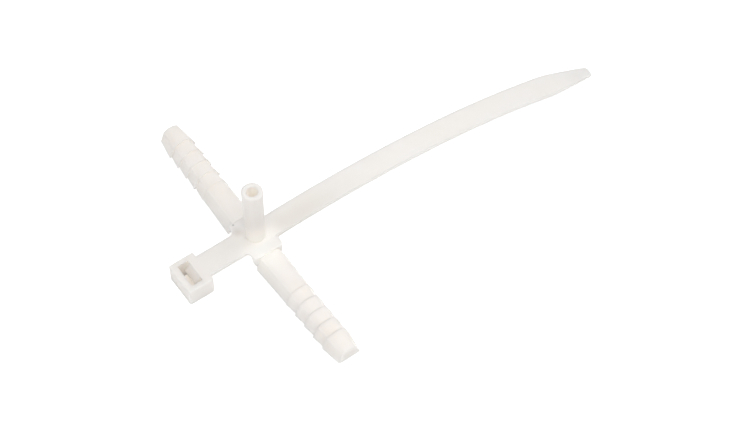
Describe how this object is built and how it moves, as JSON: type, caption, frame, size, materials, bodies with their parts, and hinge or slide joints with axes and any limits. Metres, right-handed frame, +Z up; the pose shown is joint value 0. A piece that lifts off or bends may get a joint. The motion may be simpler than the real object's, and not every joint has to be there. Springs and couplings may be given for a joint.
{
  "type": "fir tree cable tie",
  "caption": "Nylon cable tie moulded in one piece with a barbed, fold-together wall plug and a hollow drive pin at its hub.",
  "frame": {"origin": "on the axis of the drive pin, level with the top face of the neck", "axes": "+X along the strap towards its tip, +Y along one half plug, +Z up along the drive pin, out of its bore"},
  "size_m": [0.1423, 0.089, 0.0403],
  "materials": {
    "nylon": "natural nylon, satin"
  },
  "bodies": {
    "root": {"fir_tree_cable_tie": "nylon"}
  },
  "joints": []
}
